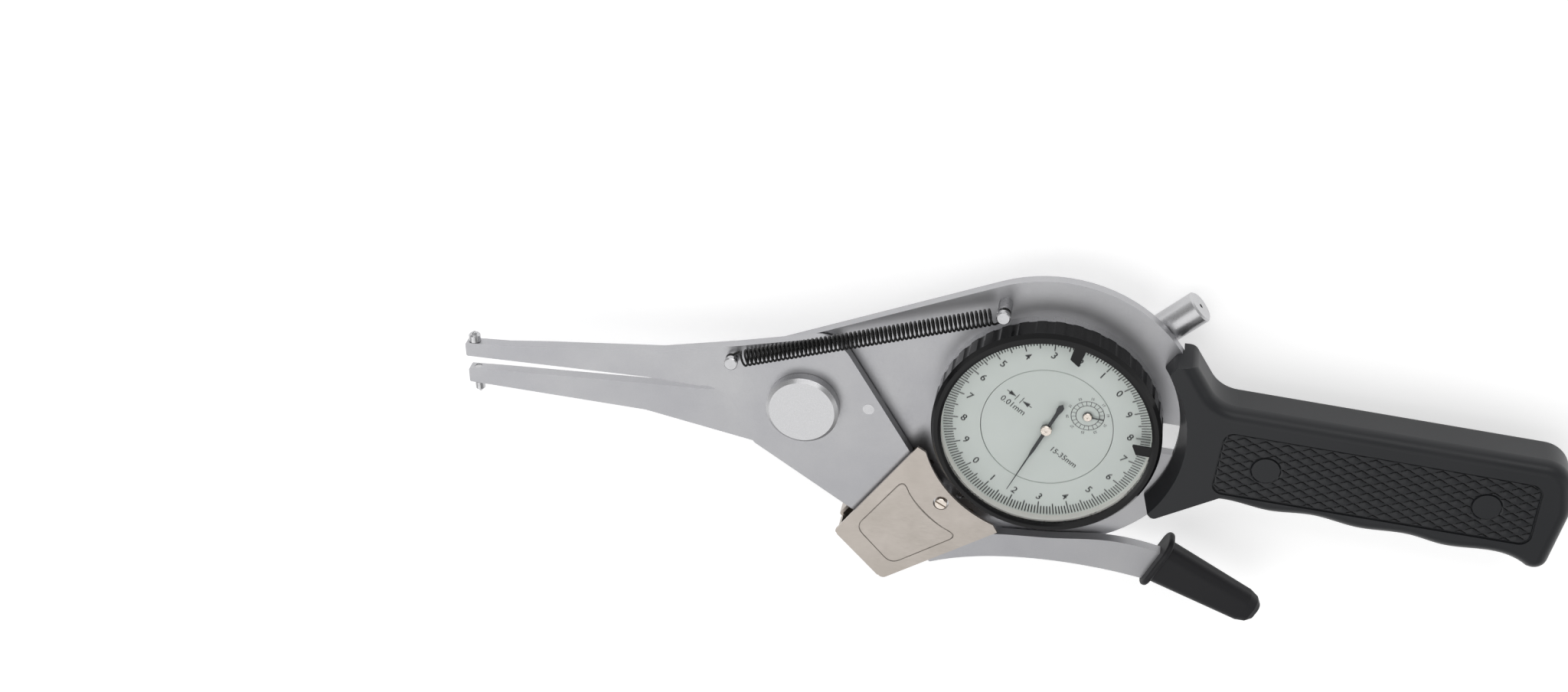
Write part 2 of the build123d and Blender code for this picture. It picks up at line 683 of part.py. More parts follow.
for name, way, grip_depth, rounding in (
    ("handle_front", 1, grip_front_depth, grip_round),
    ("handle_rear", -1, grip_rear_depth, rear_round),
):
    with BuildPart() as grip:
        with BuildSketch(Plane.XY.offset(grip_middle)):
            add(grip_outline.sketch)
        extrude(amount=way * grip_depth)
        outer_face = grip.faces().sort_by(Axis.Z)[-1 if way == 1 else 0]
        fillet(outer_face.edges().filter_by(lambda edge: edge.center().X > 36), rounding)
        with BuildSketch(Plane.XY.offset(grip_middle)):
            add(lip_outline.sketch)
        extrude(amount=way * grip_depth, mode=Mode.INTERSECT)
        if way == 1:
            add(saddle_cut.part, mode=Mode.SUBTRACT)
        else:
            with BuildSketch(Plane.XY.offset(grip_middle)):
                Circle(ring_radius + lip_gap)
            extrude(amount=-grip_depth, mode=Mode.SUBTRACT)
        with BuildSketch(Plane.XY.offset(grip_middle + way * grip_depth)) as panel:
            Polygon(*panel_corners, align=None)
            fillet(panel.vertices(), 3.0)
        extrude(amount=-way * panel_depth, mode=Mode.SUBTRACT)
        with BuildSketch(Plane.XY.offset(grip_middle)):
            with Locations(*plug_places):
                Circle(handle_screw_radius)
        extrude(amount=way * (screw_seat if way == 1 else screw_foot), mode=Mode.SUBTRACT)
        if way == 1:
            with BuildSketch(Plane.XY.offset(grip_middle + screw_seat)):
                with Locations(*plug_places):
                    Circle(plug_radius)
            extrude(amount=10, mode=Mode.SUBTRACT)
        add(frame.part, mode=Mode.SUBTRACT)
    grip.part.label = name
    export_step(grip.part, f"parts/{name}.step")

for number, place in enumerate(plug_places, 1):
    with BuildPart() as handle_screw:
        with BuildSketch(Plane.XY.offset(grip_middle - screw_foot + 0.1)):
            with Locations(place):
                Circle(handle_screw_radius)
        extrude(amount=screw_seat + screw_foot - 0.1)
        with BuildSketch(Plane.XY.offset(grip_middle + screw_seat)):
            with Locations(place):
                Circle(plug_radius - 0.15)
        extrude(amount=2.2)
        with BuildSketch(Plane.XY.offset(grip_middle + screw_seat + 1.2)):
            with Locations(place):
                RegularPolygon(1.5, 6)
        extrude(amount=2, mode=Mode.SUBTRACT)
    handle_screw.part.label = f"handle_screw_{number}"
    export_step(handle_screw.part, f"parts/handle_screw_{number}.step")

    with BuildPart() as plug:
        with BuildSketch(Plane.XY.offset(grip_middle + screw_seat + 2.3)):
            with Locations(place):
                Circle(plug_radius)
        extrude(amount=grip_front_depth - screw_seat - 2.3 - 0.02)
    plug.part.label = f"plug_{number}"
    export_step(plug.part, f"parts/plug_{number}.step")

# Indicator body: a cup with a front web, a flange that sits on the ring and a collar for the bezel.
cup_wall = 1.8
cup_inner = body_radius - cup_wall
stem_shank = 3.2
stem_radius = 4.0
bore_radius = spindle_radius + running
dial_boss = 14.0
lug_radius = 2.2
lug_places = [polar(body_radius - 3.6, angle) for angle in (80, 146, 260, 326)]
with BuildPart() as indicator_body:
    with BuildSketch(Plane.XY.offset(back_plate)):
        Circle(body_radius)
    extrude(amount=frame_front - back_plate)
    with BuildSketch(Plane.XY.offset(frame_front)):
        Circle(flange_radius)
    extrude(amount=flange_front - frame_front)
    with BuildSketch(Plane.XY.offset(flange_front)):
        Circle(body_radius)
    extrude(amount=collar_front - flange_front)
    with BuildSketch(Plane.XY.offset(collar_front)):
        Circle(dial_boss)
    extrude(amount=dial_rear - running - collar_front)
    with BuildSketch(Plane.XY.offset(back_plate)):
        Circle(cup_inner)
        with Locations(*lug_places):
            Circle(lug_radius, mode=Mode.SUBTRACT)
    extrude(amount=web_rear - back_plate, mode=Mode.SUBTRACT)
    with BuildSketch(across(-30)):
        Circle(stem_shank)
    extrude(amount=60, mode=Mode.SUBTRACT)
    with BuildSketch(Plane.XY.offset(web_rear)):
        with Locations((0, 0), counter_place):
            Circle(arbor_radius + running)
    extrude(amount=10, mode=Mode.SUBTRACT)
    with BuildSketch(Plane.XY.offset(web_rear)):
        with Locations(drive_place):
            Circle(arbor_radius + running)
    extrude(amount=1.6, mode=Mode.SUBTRACT)
    with BuildSketch(Plane.XY.offset(back_plate)):
        with Locations(*lug_places):
            Circle(1.0)
    extrude(amount=6, mode=Mode.SUBTRACT)
indicator_body.part.label = "indicator_body"
export_step(indicator_body.part, "parts/indicator_body.step")

with BuildPart() as back:
    with BuildSketch():
        Circle(body_radius)
        with Locations(*lug_places):
            Circle(1.0, mode=Mode.SUBTRACT)
    extrude(amount=back_plate)
    with BuildSketch():
        with Locations(*lug_places):
            Circle(1.8)
    extrude(amount=0.8, mode=Mode.SUBTRACT)
back.part.label = "back_plate"
export_step(back.part, "parts/back_plate.step")

for number, place in enumerate(lug_places, 1):
    with BuildPart() as back_screw:
        with BuildSketch():
            with Locations(place):
                Circle(1.8)
        extrude(amount=0.8)
        with BuildSketch():
            with Locations(place):
                Circle(1.0)
        extrude(amount=6.2)
        with BuildSketch():
            with Locations(place):
                Rectangle(4, 0.5)
        extrude(amount=0.4, mode=Mode.SUBTRACT)
    back_screw.part.label = f"back_screw_{number}"
    export_step(back_screw.part, f"parts/back_screw_{number}.step")

# Stem, its split clamp under the ring, and the bush and cap at the spindle's other end.
with BuildPart() as stem:
    with BuildSketch(across(-body_radius)):
        Circle(stem_radius)
    extrude(amount=body_radius - stem_end)
    with BuildSketch(across(-body_radius - 1)):
        Circle(stem_shank)
    extrude(amount=body_radius + 1 - cup_inner + 0.6)
    chamfer(stem.faces().sort_by_distance(across(-stem_end).origin)[0].edges(), 0.4)
    with BuildSketch(across(-stem_end - 1)):
        Circle(bore_radius)
    extrude(amount=20, mode=Mode.SUBTRACT)
stem.part.label = "stem"
export_step(stem.part, "parts/stem.step")

clamp_outer = stem_end - 0.6
clamp_inner = clamp_outer - 7.0
clamp_plane = Plane(origin=spindle_way * -clamp_inner, x_dir=-spindle_way, z_dir=(0, 0, 1))
with BuildPart() as stem_clamp:
    with BuildSketch(clamp_plane):
        Rectangle(clamp_outer - clamp_inner, clamp_width, align=(Align.MIN, Align.CENTER))
    extrude(amount=frame_rear)
    fillet(stem_clamp.edges().filter_by(Axis.Z), 1.2)
    with BuildSketch(across(-stem_end - 1)):
        Circle(stem_radius)
        with Locations((0, 0)):
            Rectangle(12, 0.8, align=(Align.MIN, Align.CENTER))
    extrude(amount=10, mode=Mode.SUBTRACT)
    with BuildSketch():
        with Locations(*clamp_screws):
            Circle(1.0)
    extrude(amount=frame_rear, mode=Mode.SUBTRACT)
    with BuildSketch():
        with Locations(*clamp_screws):
            Circle(1.7)
    extrude(amount=1.6, mode=Mode.SUBTRACT)
stem_clamp.part.label = "stem_clamp"
export_step(stem_clamp.part, "parts/stem_clamp.step")

for number, place in enumerate(clamp_screws, 1):
    with BuildPart() as clamp_screw:
        with BuildSketch(Plane.XY.offset(0.3)):
            with Locations(place):
                Circle(1.7)
        extrude(amount=1.3)
        with BuildSketch(Plane.XY.offset(0.3)):
            with Locations(place):
                Circle(1.0)
        extrude(amount=frame_front - 0.8)
        with BuildSketch(Plane.XY.offset(0.3)):
            with Locations(place):
                Rectangle(4, 0.5)
        extrude(amount=0.5, mode=Mode.SUBTRACT)
    clamp_screw.part.label = f"clamp_screw_{number}"
    export_step(clamp_screw.part, f"parts/clamp_screw_{number}.step")

cap_start = body_radius + 0.2
cap_end = cap_start + 20.0
thread_radius = 3.4
with BuildPart() as upper_bush:
    with BuildSketch(across(cup_inner - 0.6)):
        Circle(stem_shank)
    extrude(amount=body_radius - cup_inner + 0.6)
    with BuildSketch(across(body_radius)):
        Circle(thread_radius)
    extrude(amount=4)
    with BuildSketch(across(cup_inner - 5)):
        Circle(bore_radius)
    extrude(amount=20, mode=Mode.SUBTRACT)
upper_bush.part.label = "upper_bush"
export_step(upper_bush.part, "parts/upper_bush.step")

with BuildPart() as spindle_cap:
    with BuildSketch(across(cap_start)):
        Circle(4.2)
    extrude(amount=cap_end - cap_start)
    chamfer(spindle_cap.faces().sort_by_distance(across(cap_end).origin)[0].edges(), 0.45)
    with BuildSketch(across(cap_start)):
        Circle(thread_radius)
    extrude(amount=4, mode=Mode.SUBTRACT)
    with BuildSketch(across(cap_start)):
        Circle(2.8)
    extrude(amount=cap_end - cap_start - 1.6, mode=Mode.SUBTRACT)
    with BuildSketch(across(cap_start)):
        Circle(0.6)
    extrude(amount=30, mode=Mode.SUBTRACT)
spindle_cap.part.label = "spindle_cap"
export_step(spindle_cap.part, "parts/spindle_cap.step")

# Spindle: round bar with a rack cut on one side, a ball contact and a cross pin that keeps it square.
spindle_start = -(pad_face - 6.38)
spindle_end = cap_end - 10.2
mesh = Vector(*drive_place, 0).dot(spindle_way)
tooth_rise = 0.8
tooth_drop = 0.95
rack_module = rack_pitch / pi
rack_from = -15.5
rack_to = -1.0
guide_at = 9.0
contact_ball = 1.5
contact_gap = 0.05
contact_centre = -(pad_face - contact_gap - contact_ball)
with BuildPart() as spindle:
    with BuildSketch(across(spindle_start)):
        Circle(spindle_radius)
    extrude(amount=spindle_end - spindle_start)
    with BuildSketch(rack_plane):
        with Locations((rack_from, rack_side - tooth_drop * rack_module)):
            Rectangle(rack_to - rack_from, 5, align=(Align.MIN, Align.MIN))
    extrude(amount=5, both=True, mode=Mode.SUBTRACT)
    with BuildSketch(rack_plane):
        for step in range(-8, 16):
            middle = mesh + step * rack_pitch
            low = rack_side - tooth_drop * rack_module
            high = rack_side + tooth_rise * rack_module
            root = 0.30 * rack_pitch
            crest = 0.11 * rack_pitch
            tooth = [(middle - root, low - 0.1), (middle + root, low - 0.1), (middle + root, low)]
            tooth += [(middle + crest, high), (middle - crest, high), (middle - root, low)]
            Polygon(*tooth, align=None)
    extrude(amount=1.0, both=True)
    with BuildSketch(across(spindle_start)):
        Circle(1.0)
    extrude(amount=3, mode=Mode.SUBTRACT)
    with BuildSketch(Plane(origin=across(guide_at).origin, z_dir=-spindle_side)):
        Circle(0.8)
    extrude(amount=5, both=True, mode=Mode.SUBTRACT)
spindle.part.label = "spindle"
export_step(spindle.part, "parts/spindle.step")

contact_neck = 1.15
contact_flange = 1.9
contact_thread = 1.0
neck_start = contact_centre + sqrt(contact_ball**2 - contact_neck**2)
flange_start = spindle_start - 2.6
thread_end = spindle_start + 2.9
with BuildPart() as contact_point:
    with BuildSketch(rack_plane):
        with BuildLine():
            RadiusArc((contact_centre - contact_ball, 0), (neck_start, contact_neck), contact_ball)
            Polyline(
                (neck_start, contact_neck),
                (flange_start, contact_neck),
                (flange_start, contact_flange),
                (spindle_start, contact_flange),
                (spindle_start, contact_thread),
                (thread_end, contact_thread),
                (thread_end, 0),
                (contact_centre - contact_ball, 0),
            )
        make_face()
    revolve(axis=Axis(rack_plane.origin, spindle_way))
contact_point.part.label = "contact_point"
export_step(contact_point.part, "parts/contact_point.step")

guide_radius = 0.8
with BuildPart() as guide_pin:
    with BuildSketch(Plane(origin=across(guide_at).origin + spindle_side * 1.9, z_dir=-spindle_side)):
        Circle(guide_radius)
    extrude(amount=10.9)
guide_pin.part.label = "guide_pin"
export_step(guide_pin.part, "parts/guide_pin.step")

# Movement: a bridge below the wheels carries their pivots, the guide rail and the spring's anchor.
bridge_rear = 7.7
bridge_front = 8.7
bridge_radius = body_radius - 7.5
pillar_places = [polar(bridge_radius - 3.0, angle) for angle in (93, 133, 273, 313)]
rail_side = -5.2
anchor_at = -16.0
spring_side = -7.6
with BuildPart() as movement_bridge:
    with BuildSketch(Plane.XY.offset(bridge_rear)):
        Circle(bridge_radius)
    extrude(amount=bridge_front - bridge_rear)
    with BuildSketch(Plane.XY.offset(bridge_front)):
        with Locations(*pillar_places):
            Circle(1.6)
    extrude(amount=web_rear - bridge_front)
    with BuildSketch(rack_plane.offset(-2)):
        with Locations((anchor_at, rail_side)):
            Rectangle(3, 2)
    extrude(amount=bridge_rear - spindle_height + 2)
    with BuildSketch(rack_plane.offset(-2)):
        with Locations((6.7, rail_side)):
            Rectangle(15.4, 2)
    extrude(amount=bridge_rear - spindle_height + 2)
    with BuildSketch(rack_plane.offset(-guide_radius - running)):
        with Locations((6.7, rail_side)):
            Rectangle(12.4, 4)
    extrude(amount=2 * (guide_radius + running), mode=Mode.SUBTRACT)
    with BuildSketch(Plane(origin=across(anchor_at).origin + spindle_side * rail_side, z_dir=-spindle_side)):
        Circle(0.7)
    extrude(amount=rail_side - spring_side + 1.2)
    with BuildSketch(Plane.XY.offset(bridge_rear)):
        with Locations((0, 0), counter_place, drive_place):
            Circle(arbor_radius + running)
    extrude(amount=2, mode=Mode.SUBTRACT)
    with BuildSketch(Plane.XY.offset(bridge_front)):
        with Locations(polar(centre_distance + 4.4, counter_angle)):
            Circle(0.4)
    extrude(amount=1.4)
movement_bridge.part.label = "movement_bridge"
export_step(movement_bridge.part, "parts/movement_bridge.step")


def teeth_outline(teeth, size, first):
    """Corners of a wheel with straight-flanked teeth, one of them at the first angle."""
    radius = size * teeth / 2
    step = 360 / teeth
    corners = []
    for number in range(teeth):
        angle = first + number * step
        corners.append(polar(radius - tooth_drop * size, angle - 0.30 * step))
        corners.append(polar(radius + tooth_rise * size, angle - 0.11 * step))
        corners.append(polar(radius + tooth_rise * size, angle + 0.11 * step))
        corners.append(polar(radius - tooth_drop * size, angle + 0.30 * step))
    return corners


wheel_turn = 180 / wheel_teeth
with BuildPart() as drive_wheel:
    with BuildSketch(Plane.XY.offset(wheel_height)):
        with Locations(drive_place):
            Polygon(*teeth_outline(wheel_teeth, module, counter_angle + wheel_turn), align=None)
            with PolarLocations(6.2, 5):
                Circle(2.2, mode=Mode.SUBTRACT)
    extrude(amount=wheel_thickness)
    with BuildSketch(Plane.XY.offset(spindle_height - 1.7)):
        with Locations(drive_place):
            first = spindle_angle - 90 + 180 / rack_pinion_teeth
            Polygon(*teeth_outline(rack_pinion_teeth, rack_module, first), align=None)
    extrude(amount=3.6)
    with BuildSketch(Plane.XY.offset(spindle_height - 2.2)):
        with Locations(drive_place):
            Circle(arbor_radius)
    extrude(amount=web_rear + 1.4 - spindle_height + 2.2)
drive_wheel.part.label = "drive_wheel"
export_step(drive_wheel.part, "parts/drive_wheel.step")

main_hand_height = 19.7
small_hand_height = 18.9
with BuildPart() as centre_pinion:
    with BuildSketch(Plane.XY.offset(wheel_height - 1.2)):
        Polygon(*teeth_outline(pinion_teeth, module, counter_angle), align=None)
    extrude(amount=3)
    with BuildSketch(Plane.XY.offset(bridge_rear)):
        Circle(arbor_radius)
    extrude(amount=main_hand_height + 0.5 - bridge_rear)
centre_pinion.part.label = "centre_pinion"
export_step(centre_pinion.part, "parts/centre_pinion.step")

with BuildPart() as counter_wheel:
    with BuildSketch(Plane.XY.offset(wheel_height)):
        with Locations(counter_place):
            Polygon(*teeth_outline(wheel_teeth, module, drive_angle + wheel_turn), align=None)
            with PolarLocations(6.2, 5):
                Circle(2.2, mode=Mode.SUBTRACT)
    extrude(amount=wheel_thickness)
    with BuildSketch(Plane.XY.offset(bridge_rear)):
        with Locations(counter_place):
            Circle(arbor_radius)
    extrude(amount=small_hand_height + 0.4 - bridge_rear)
    with BuildSketch(Plane.XY.offset(bridge_front + 0.2)):
        with Locations(counter_place):
            Circle(0.95)
    extrude(amount=wheel_height - bridge_front - 0.2)
counter_wheel.part.label = "counter_wheel"
export_step(counter_wheel.part, "parts/counter_wheel.step")

# Return spring: pulls the guide pin towards the bridge's anchor, so the contact follows the pad.
fine_wire = 0.13
hooked_spring(
    "return_spring",
    across(anchor_at).origin + spindle_side * spring_side,
    across(guide_at).origin + spindle_side * spring_side,
    spindle_side,
    (fine_wire, 1.2, 0.62, guide_radius + fine_wire + 0.02, 2.6),
)

# Take-up spring: a flat spiral from the counter wheel's collet out to a stud on the bridge.
spiral_turns = 4
spiral_inner = 1.0
spiral_outer = 3.95
spiral_half = 0.04
with BuildPart() as hairspring:
    with BuildSketch(Plane.XY.offset(bridge_front + 0.5)):
        with BuildLine():
            edges = []
            for shift in (-spiral_half, spiral_half):
                run = []
                for step in range(spiral_turns * 10 + 1):
                    part_way = step / spiral_turns / 10
                    radius = spiral_inner + (spiral_outer - spiral_inner) * part_way + shift
                    x, y = polar(radius, counter_angle + 360 * spiral_turns * part_way)
                    run.append((counter_place[0] + x, counter_place[1] + y))
                edges.append(run)
            Spline(*edges[0])
            Spline(*edges[1])
            Line(edges[0][0], edges[1][0])
            Line(edges[0][-1], edges[1][-1])
        make_face()
    extrude(amount=0.5)
hairspring.part.label = "hairspring"
export_step(hairspring.part, "parts/hairspring.step")

# Dial: a fixed disc for the small hand, and a ring with the main scale that turns with the bezel.
ring_inner = 16.8
disc_radius = ring_inner - 0.2
with BuildPart() as inner_dial:
    with BuildSketch(Plane.XY.offset(dial_rear - running)):
        Circle(disc_radius)
        with Locations((0, 0), counter_place):
            Circle(arbor_radius + 0.2, mode=Mode.SUBTRACT)
    extrude(amount=dial_thickness)
inner_dial.part.label = "inner_dial"
export_step(inner_dial.part, "parts/inner_dial.step")

with BuildPart() as scale_ring:
    with BuildSketch(Plane.XY.offset(dial_rear)):
        Circle(bezel_seat)
        Circle(ring_inner, mode=Mode.SUBTRACT)
    extrude(amount=dial_thickness)
scale_ring.part.label = "scale_ring"
export_step(scale_ring.part, "parts/scale_ring.step")

with BuildPart() as spacer_ring:
    with BuildSketch(Plane.XY.offset(dial_front)):
        Circle(bezel_seat)
        Circle(window_radius, mode=Mode.SUBTRACT)
    extrude(amount=glass_rear - dial_front)
spacer_ring.part.label = "spacer_ring"
export_step(spacer_ring.part, "parts/spacer_ring.step")

with BuildPart() as glass:
    with BuildSketch(Plane.XY.offset(glass_rear)):
        Circle(bezel_seat)
    extrude(amount=glass_front - glass_rear)
glass.part.label = "glass"
export_step(glass.part, "parts/glass.step")

# Bezel: turned ring with a ledge under the dial, a groove for the limit markers and a fluted rim.
marker_thickness = 0.4
groove_top = glass_front + marker_thickness + 2 * running
groove_radius_outer = bezel_seat + 0.45
flute_count = 40
with BuildPart() as bezel:
    with BuildSketch(Plane.XZ):
        with BuildLine():
            Polyline(
                (bezel_radius, flange_front + 0.1),
                (bezel_radius, bezel_front - 1.2),
                (bezel_radius - 0.8, bezel_front),
                (window_radius + 0.7, bezel_front),
                (window_radius, bezel_front - 0.35),
                (window_radius, groove_top),
                (groove_radius_outer, groove_top),
                (groove_radius_outer, glass_front),
                (bezel_seat, glass_front),
                (bezel_seat, dial_rear),
                (bezel_seat - 1.5, dial_rear),
                (bezel_seat - 1.5, collar_front + 0.3),
                (body_radius + running, collar_front + 0.3),
                (body_radius + running, flange_front + 0.1),
                close=True,
            )
        make_face()
    revolve(axis=Axis.Z)
    with BuildSketch(Plane.XY.offset(flange_front)):
        with PolarLocations(bezel_radius + 1.85, flute_count):
            Circle(2.2)
    extrude(amount=bezel_front - 1.2 - flange_front, mode=Mode.SUBTRACT)
bezel.part.label = "bezel"
export_step(bezel.part, "parts/bezel.step")

# Limit markers: thin tabs whose feet slide in the bezel's groove, just above the glass.
marker_half = 1.38
for number, (angle, way) in enumerate(((73.3, 1), (-6.3, -1)), 1):
    tab_plane = Plane(origin=(0, 0, glass_front + running), x_dir=(*polar(1, angle), 0), z_dir=(0, 0, 1))
    with BuildPart() as limit_marker:
        with BuildSketch(tab_plane) as tab:
            Polygon(
                (window_radius + 0.44, -way * marker_half),
                (window_radius + 0.44, way * marker_half),
                (window_radius - 3.56, way * marker_half),
                (window_radius - 4.96, -way * marker_half),
                align=None,
            )
            fillet(tab.vertices().sort_by(Axis.X)[:2], 0.3)
        extrude(amount=marker_thickness)
        with BuildSketch(tab_plane):
            Circle(groove_radius_outer - running)
            Circle(window_radius - 0.1, mode=Mode.SUBTRACT)
            with Locations((30, 0)):
                Rectangle(12, 5.6, mode=Mode.INTERSECT)
        extrude(amount=marker_thickness)
    limit_marker.part.label = f"limit_marker_{number}"
    export_step(limit_marker.part, f"parts/limit_marker_{number}.step")

# Hands: a long one with a nickel hub on the centre pinion and a small one on the counter wheel.
main_hand_angle = 243.0
small_hand_angle = -10.3
hand_plane = Plane(origin=(0, 0, main_hand_height), x_dir=(*polar(1, main_hand_angle), 0), z_dir=(0, 0, 1))
with BuildPart() as main_hand:
    with BuildSketch(hand_plane):
        hand_edge = [(20.8, 0.07), (9.2, 0.2), (7.2, 0.42), (1.0, 0.46)]
        hand_edge += [(-1.0, 0.38), (-5.6, 0.48), (-6.9, 0.78), (-7.9, 0.78)]
        Polygon(*hand_edge, (-8.7, 0.0), *[(x, -y) for x, y in reversed(hand_edge)], align=None)
    extrude(amount=0.2)
    with BuildSketch(hand_plane.offset(-0.35)):
        Circle(1.2)
    extrude(amount=0.95)
    with BuildSketch(hand_plane.offset(-0.35)):
        Circle(1.45)
    extrude(amount=0.35)
    with BuildSketch(hand_plane.offset(-0.35)):
        Circle(arbor_radius)
    extrude(amount=0.95, mode=Mode.SUBTRACT)
main_hand.part.label = "main_hand"
export_step(main_hand.part, "parts/main_hand.step")

small_plane = Plane(
    origin=(*counter_place, small_hand_height), x_dir=(*polar(1, small_hand_angle), 0), z_dir=(0, 0, 1)
)
with BuildPart() as small_hand:
    with BuildSketch(small_plane):
        Polygon((4.0, -0.06), (4.0, 0.06), (0, 0.24), (0, -0.24), align=None)
        Circle(1.25)
    extrude(amount=0.2)
    with BuildSketch(small_plane):
        Circle(0.95)
    extrude(amount=0.5)
    with BuildSketch(small_plane):
        Circle(arbor_radius)
    extrude(amount=0.5, mode=Mode.SUBTRACT)
small_hand.part.label = "small_hand"
export_step(small_hand.part, "parts/small_hand.step")
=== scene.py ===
import math

import bpy
from mathutils import Matrix, Vector


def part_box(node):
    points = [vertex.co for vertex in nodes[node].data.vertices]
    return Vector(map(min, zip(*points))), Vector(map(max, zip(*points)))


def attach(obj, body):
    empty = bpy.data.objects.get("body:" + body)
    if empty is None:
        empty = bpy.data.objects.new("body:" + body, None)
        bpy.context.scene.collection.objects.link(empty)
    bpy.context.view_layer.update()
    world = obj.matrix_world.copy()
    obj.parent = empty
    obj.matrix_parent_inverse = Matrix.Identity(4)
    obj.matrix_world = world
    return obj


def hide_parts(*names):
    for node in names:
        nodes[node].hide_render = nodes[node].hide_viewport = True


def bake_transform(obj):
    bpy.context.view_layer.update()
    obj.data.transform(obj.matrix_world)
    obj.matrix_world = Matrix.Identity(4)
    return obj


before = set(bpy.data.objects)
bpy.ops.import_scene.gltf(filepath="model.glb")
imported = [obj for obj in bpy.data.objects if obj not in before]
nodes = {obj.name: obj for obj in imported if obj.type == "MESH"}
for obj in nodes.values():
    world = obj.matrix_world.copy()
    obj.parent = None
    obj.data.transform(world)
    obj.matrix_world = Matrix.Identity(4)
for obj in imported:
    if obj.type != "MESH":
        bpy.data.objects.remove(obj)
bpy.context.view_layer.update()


# Steel plates: the frame, the movable arm and the finger lever, ground and satin plated.
# Their sheared edges are eased, which gives the thin bright line along every outline.
def socket(mat, name):
    """Named input of a material's Principled shader."""
    return mat.node_tree.nodes["Principled BSDF"].inputs[name]


def shader(name, colour, rough, metal=0.0, spec=0.5):
    """New material with one Principled shader."""
    mat = bpy.data.materials.new(name)
    mat.use_nodes = True
    socket(mat, "Base Color").default_value = (*colour, 1)
    socket(mat, "Roughness").default_value = rough
    socket(mat, "Metallic").default_value = metal
    socket(mat, "Specular IOR Level").default_value = spec
    return mat


def noise(mat, size, detail, stretch=(1, 1, 1), turn=0.0):
    """Noise value over the object's own space, with patches of a size in millimetres."""
    tree = mat.node_tree
    place = tree.nodes.new("ShaderNodeTexCoord")
    shape = tree.nodes.new("ShaderNodeMapping")
    shape.inputs["Scale"].default_value = stretch
    shape.inputs["Rotation"].default_value = (0, 0, turn)
    grain = tree.nodes.new("ShaderNodeTexNoise")
    grain.inputs["Scale"].default_value = 1000 / size
    grain.inputs["Detail"].default_value = detail
    tree.links.new(place.outputs["Object"], shape.inputs["Vector"])
    tree.links.new(shape.outputs["Vector"], grain.inputs["Vector"])
    return grain.outputs["Fac"]


def vary(mat, name, value, low, high):
    """Ramp from a noise value to a shader input; each stop is (position, grey or colour)."""
    tree = mat.node_tree
    ramp = tree.nodes.new("ShaderNodeValToRGB")
    for stop, (place, shade) in zip(ramp.color_ramp.elements, (low, high)):
        stop.position = place
        stop.color = (*shade, 1) if isinstance(shade, tuple) else (shade, shade, shade, 1)
    tree.links.new(value, ramp.inputs["Fac"])
    tree.links.new(ramp.outputs["Color"], socket(mat, name))


def bump(mat, value, depth, strength):
    """Bump from a noise value, with its depth in millimetres."""
    tree = mat.node_tree
    node = tree.nodes.new("ShaderNodeBump")
    node.inputs["Distance"].default_value = depth / 1000
    node.inputs["Strength"].default_value = strength
    tree.links.new(value, node.inputs["Height"])
    tree.links.new(node.outputs["Normal"], socket(mat, "Normal"))


def dress(mat, *names):
    """Gives CAD nodes a material in place of the one they came with."""
    for name in names:
        mesh = nodes[name].data
        mesh.materials.clear()
        mesh.materials.append(mat)


def ease(width, *names):
    """Small rounded edge on CAD nodes, in millimetres."""
    for name in names:
        edge = nodes[name].modifiers.new("eased_edge", "BEVEL")
        edge.width = width / 1000
        edge.segments = 2
        edge.limit_method = "ANGLE"
        edge.angle_limit = math.radians(40)


satin_steel = shader("satin_steel", (0.47, 0.47, 0.485), 0.4, metal=1.0)
cloud = noise(satin_steel, 22, 3)
fine = noise(satin_steel, 0.35, 2)
vary(satin_steel, "Base Color", cloud, (0.3, (0.43, 0.43, 0.45)), (0.7, (0.5, 0.5, 0.51)))
vary(satin_steel, "Roughness", fine, (0.3, 0.36), (0.7, 0.46))
bump(satin_steel, fine, 0.004, 0.5)
dress(satin_steel, "frame", "movable_arm", "finger_lever")
ease(0.3, "frame", "movable_arm", "finger_lever")


# Turned metal: the pivot cap, the spindle cap, the indicator's body with its back plate, and the
# clamp, with fine turning marks. The rims of the caps and the body are eased and catch the light.
turned_metal = shader("turned_metal", (0.56, 0.56, 0.57), 0.28, metal=1.0)
marks = noise(turned_metal, 0.25, 2)
vary(turned_metal, "Roughness", marks, (0.3, 0.26), (0.7, 0.38))
bump(turned_metal, marks, 0.003, 0.4)
dress(turned_metal, "pivot_cap", "spindle_cap", "indicator_body", "back_plate", "stem_clamp")
ease(0.12, "pivot_cap", "spindle_cap", "indicator_body")


# Plain steel pins, posts and screws, and the polished measuring contacts.
# Bright with a few dull spots.
pin_steel = shader("pin_steel", (0.5, 0.5, 0.51), 0.22, metal=1.0)
spots = noise(pin_steel, 1.2, 3)
vary(pin_steel, "Roughness", spots, (0.35, 0.16), (0.75, 0.34))
bump(pin_steel, spots, 0.004, 0.4)
dress(
    pin_steel, "arm_spring_post", "frame_spring_post", "stop_pin", "moving_contact",
    "fixed_contact", "spindle", "contact_point", "guide_pin", "tail_pad", "stem", "upper_bush",
    "pivot_shaft", "thrust_washer", "pivot_nut", "cover_pillar", "handle_screw_1",
    "handle_screw_2", "clamp_screw_1", "clamp_screw_2", "back_screw_1", "back_screw_2",
    "back_screw_3", "back_screw_4",
)


# Black oiled spring wire: the tension spring, and inside the return spring and the hairspring.
# It is semi-gloss and lighter where it is rubbed. The first two springs are shown by plain copies
# of their meshes.
black_wire = shader("black_wire", (0.018, 0.018, 0.018), 0.3, metal=0.6)
rub = noise(black_wire, 0.8, 3)
vary(black_wire, "Roughness", rub, (0.4, 0.24), (0.75, 0.45))
vary(black_wire, "Base Color", rub, (0.6, (0.016, 0.016, 0.016)), (0.8, (0.06, 0.055, 0.05)))
dress(black_wire, "tension_spring", "return_spring", "hairspring")


